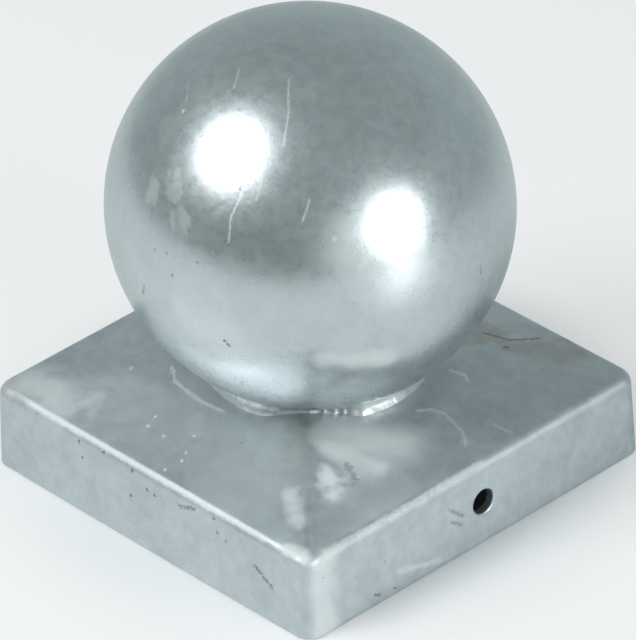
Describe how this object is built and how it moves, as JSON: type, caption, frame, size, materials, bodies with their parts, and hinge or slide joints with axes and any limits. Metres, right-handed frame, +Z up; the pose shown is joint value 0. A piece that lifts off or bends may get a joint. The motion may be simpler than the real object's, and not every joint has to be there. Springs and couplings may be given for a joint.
{
  "type": "ball post cap",
  "caption": "Galvanised steel ball on a low pyramid cap with a short skirt that slips over the top of a square fence post and is screwed through its sides.",
  "frame": {"origin": "middle of the skirt's rim, on the plane that the rim lies in", "axes": "+Z up through the ball; +X out of a skirt wall with a screw hole; -Y out of a plain skirt wall"},
  "size_m": [0.095, 0.095, 0.1022],
  "materials": {
    "zinc_cap": "hot-dip galvanised, mottled satin",
    "zinc_ball": "hot-dip galvanised, smooth satin",
    "zinc_bead": "hot-dip galvanised weld bead, lumpy"
  },
  "bodies": {
    "root": {"cap": "zinc_cap", "ball": "zinc_ball", "weld_bead": "zinc_bead"}
  },
  "joints": []
}
